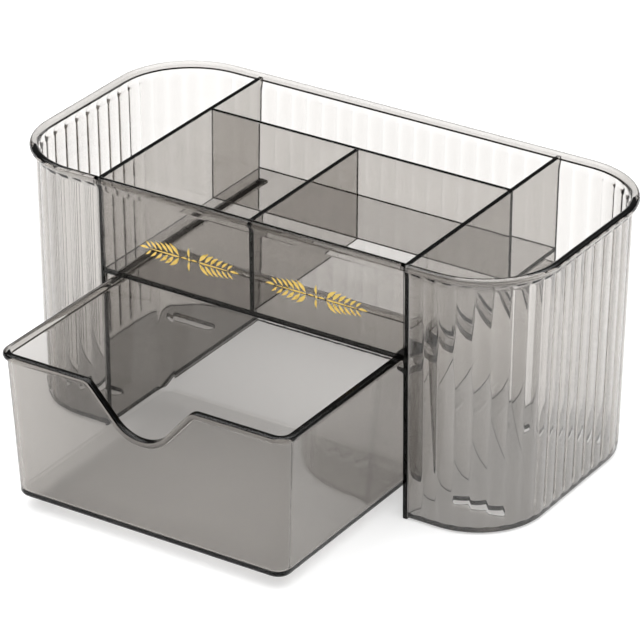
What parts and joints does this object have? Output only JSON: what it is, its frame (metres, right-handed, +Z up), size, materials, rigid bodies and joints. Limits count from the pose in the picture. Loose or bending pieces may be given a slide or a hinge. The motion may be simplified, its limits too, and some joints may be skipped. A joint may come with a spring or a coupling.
{
  "type": "cosmetics organizer with drawer",
  "caption": "Ribbed clear-plastic desktop organizer: open divided tray over a sliding drawer with a finger notch, and a deep rounded well at each end.",
  "frame": {"origin": "centre of the housing's underside, on the table", "axes": "+X along the front to the right, +Y from the front to the back, +Z up"},
  "size_m": [0.24, 0.1973, 0.112],
  "materials": {
    "smoked_wall": "gloss, clear with a warm grey smoke",
    "smoked_panel": "gloss, clear with a warm grey smoke",
    "smoked_drawer": "gloss, clear with a warm grey smoke",
    "gold_foil": "gold hot-stamped foil"
  },
  "bodies": {
    "housing": {"ribbed_wall": "smoked_wall", "front_panel": "smoked_panel", "left_partition": "smoked_panel", "right_partition": "smoked_panel", "cross_partition": "smoked_panel", "centre_partition": "smoked_panel", "shelf": "smoked_panel", "left_floor": "smoked_wall", "right_floor": "smoked_wall", "left_runner": "smoked_wall", "right_runner": "smoked_wall"},
    "drawer": {"drawer": "smoked_drawer"}
  },
  "joints": [
    {"name": "drawer_slide", "type": "slide", "parent": "housing", "child": "drawer", "axis": [0, 1, 0], "range_m": [-0.025, 0.0775]}
  ]
}
